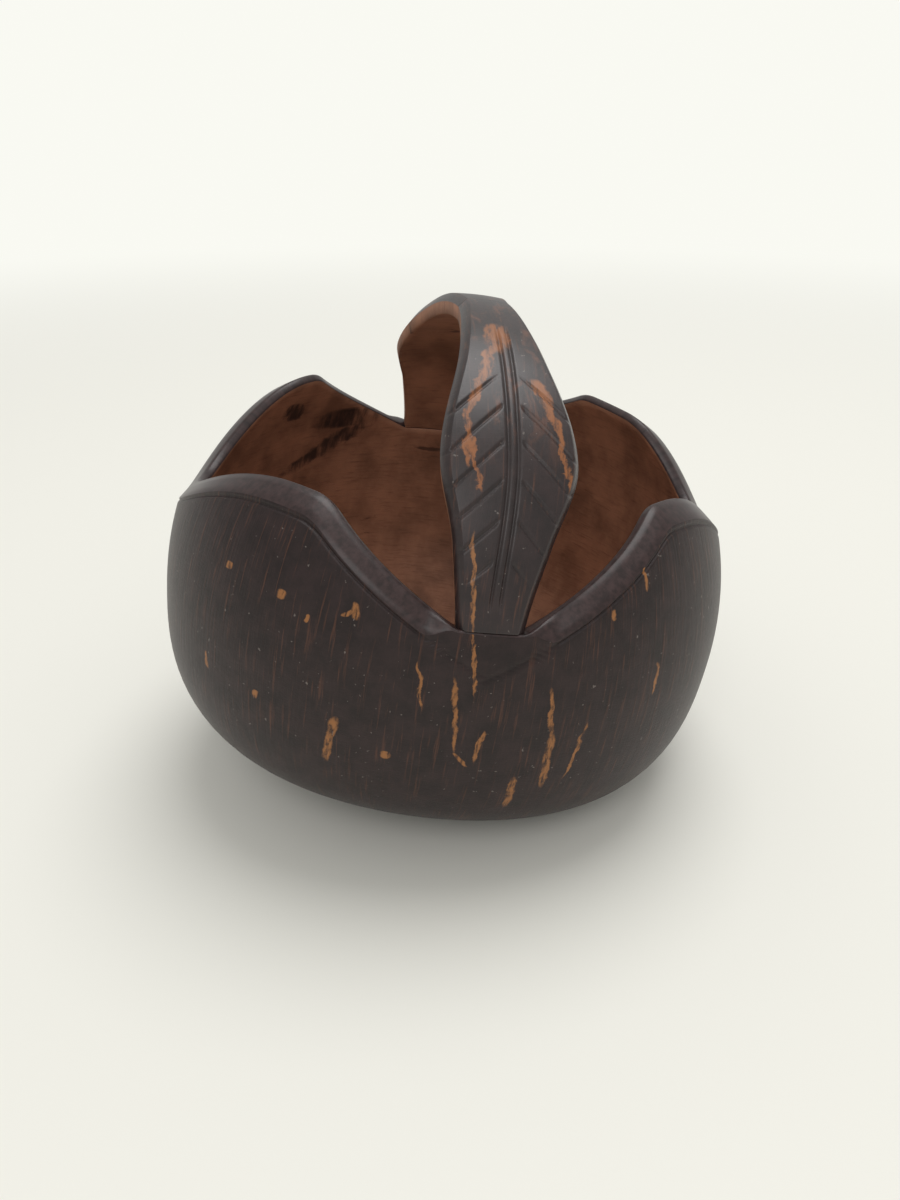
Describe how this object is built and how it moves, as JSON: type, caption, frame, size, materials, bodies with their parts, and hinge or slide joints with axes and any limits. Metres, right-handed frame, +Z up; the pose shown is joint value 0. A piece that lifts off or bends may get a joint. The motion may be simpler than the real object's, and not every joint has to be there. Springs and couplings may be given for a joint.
{
  "type": "carved coconut basket",
  "caption": "Small basket carved from a coconut shell: a round bowl with a scalloped, chamfered rim and an arched strap handle cut as leaves.",
  "frame": {"origin": "centre of the footprint, on the level that the basket stands on", "axes": "+Z up; the handle runs front to back along Y, with the front leaf at -Y; the nut leans towards +X"},
  "size_m": [0.1158, 0.115, 0.0978],
  "materials": {
    "polished_shell": "dark brown-black polished coconut shell with paler fibre streaks",
    "worn_leaf": "the same shell, worn to red-brown on the leaves, with incised veins"
  },
  "bodies": {
    "root": {"bowl_shell": "polished_shell", "front_leaf": "worn_leaf", "back_leaf": "worn_leaf"}
  },
  "joints": []
}
